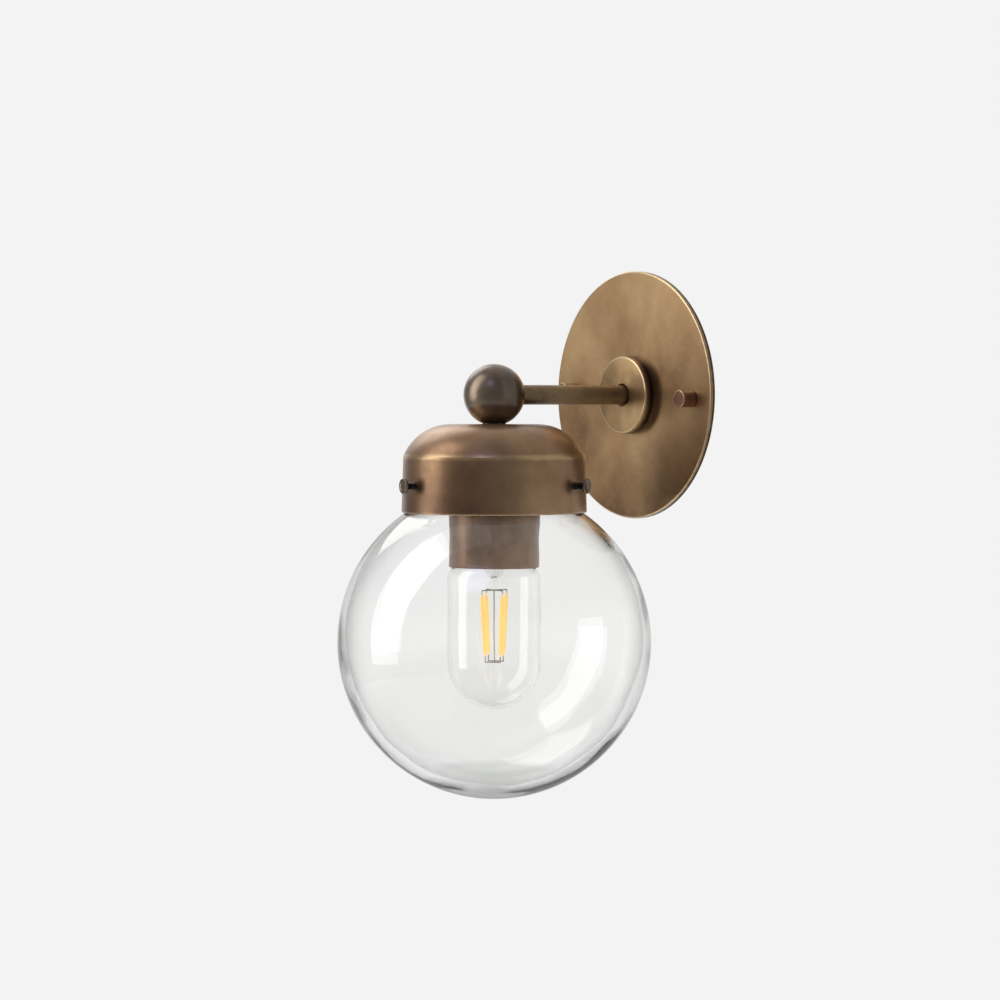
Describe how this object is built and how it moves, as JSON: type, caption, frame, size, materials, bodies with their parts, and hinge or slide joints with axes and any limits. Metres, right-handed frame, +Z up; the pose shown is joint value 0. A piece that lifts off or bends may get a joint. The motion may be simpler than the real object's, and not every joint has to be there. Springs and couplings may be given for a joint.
{
  "type": "wall sconce",
  "caption": "Wall light with a clear glass globe held by side screws in a rounded brass cap, hung from a ball on a short straight arm off a round wall plate.",
  "frame": {"origin": "centre of the wall plate's back rim, on the face of the wall", "axes": "-Y points out of the wall into the room and +Y into it, +Z is up, and +X is to the right seen from the room"},
  "size_m": [0.15, 0.179, 0.2538],
  "materials": {
    "aged_brass": "aged, brushed, lacquered",
    "zinc_steel": "zinc plated",
    "bright_brass": "plain",
    "green_screw": "green passivated",
    "globe_glass": "clear, polished",
    "lamp_glass": "clear",
    "holder_black": "moulded phenolic",
    "lamp_cap_metal": "nickel bright",
    "lamp_black": "glazed insulator",
    "filament_yellow": "phosphor coated",
    "wire_steel": "drawn wire",
    "driver_green": "lacquered board",
    "block_white": "moulded",
    "lead_black": "insulation",
    "lead_white": "insulation"
  },
  "bodies": {
    "fixture": {"wall_plate": "aged_brass", "boss": "aged_brass", "arm_tube": "aged_brass", "ball": "aged_brass", "seat_washer": "aged_brass", "shade_cap": "aged_brass", "socket_cup": "aged_brass", "arm_washer": "zinc_steel", "arm_nut": "zinc_steel", "nipple": "zinc_steel", "cap_washer": "zinc_steel", "cap_nut": "zinc_steel", "box_bar": "zinc_steel", "stud_bar": "zinc_steel", "bar_eyelet": "zinc_steel", "studs": "zinc_steel", "stud_nuts": "zinc_steel", "holder_posts": "bright_brass", "centre_contact": "bright_brass", "terminal_screws": "bright_brass", "screw_shell": "bright_brass", "earth_screw": "green_screw", "globe": "globe_glass", "holder_dome": "holder_black", "holder_core": "holder_black", "holder_skirt": "holder_black", "terminal_block": "block_white", "live_lead": "lead_black", "neutral_lead": "lead_white"},
    "screw_front": {"shade_screw_front": "aged_brass"},
    "screw_side": {"shade_screw_side": "aged_brass"},
    "screw_rear": {"shade_screw_rear": "aged_brass"},
    "nut_left": {"knob_nut_left": "aged_brass"},
    "nut_right": {"knob_nut_right": "aged_brass"},
    "lamp": {"lamp_envelope": "lamp_glass", "lamp_screw_cap": "lamp_cap_metal", "lamp_insulator": "lamp_black", "lamp_tip": "bright_brass", "lamp_stem": "lamp_glass", "lamp_filaments": "filament_yellow", "lamp_wires": "wire_steel", "lamp_driver": "driver_green"}
  },
  "joints": [
    {"name": "screw_front_slide", "type": "slide", "parent": "fixture", "child": "screw_front", "axis": [-0.0819, -0.9966, 0], "range_m": [0, 0.004]},
    {"name": "screw_side_slide", "type": "slide", "parent": "fixture", "child": "screw_side", "axis": [0.9041, 0.4274, 0], "range_m": [0, 0.004]},
    {"name": "screw_rear_slide", "type": "slide", "parent": "fixture", "child": "screw_rear", "axis": [-0.8221, 0.5693, 0], "range_m": [0, 0.004]},
    {"name": "nut_left_slide", "type": "slide", "parent": "fixture", "child": "nut_left", "axis": [0, -1, 0], "range_m": [0, 0.0055]},
    {"name": "nut_right_slide", "type": "slide", "parent": "fixture", "child": "nut_right", "axis": [0, -1, 0], "range_m": [0, 0.0055]},
    {"name": "lamp_slide", "type": "slide", "parent": "fixture", "child": "lamp", "axis": [0, 0, -1], "range_m": [0, 0.025]}
  ]
}
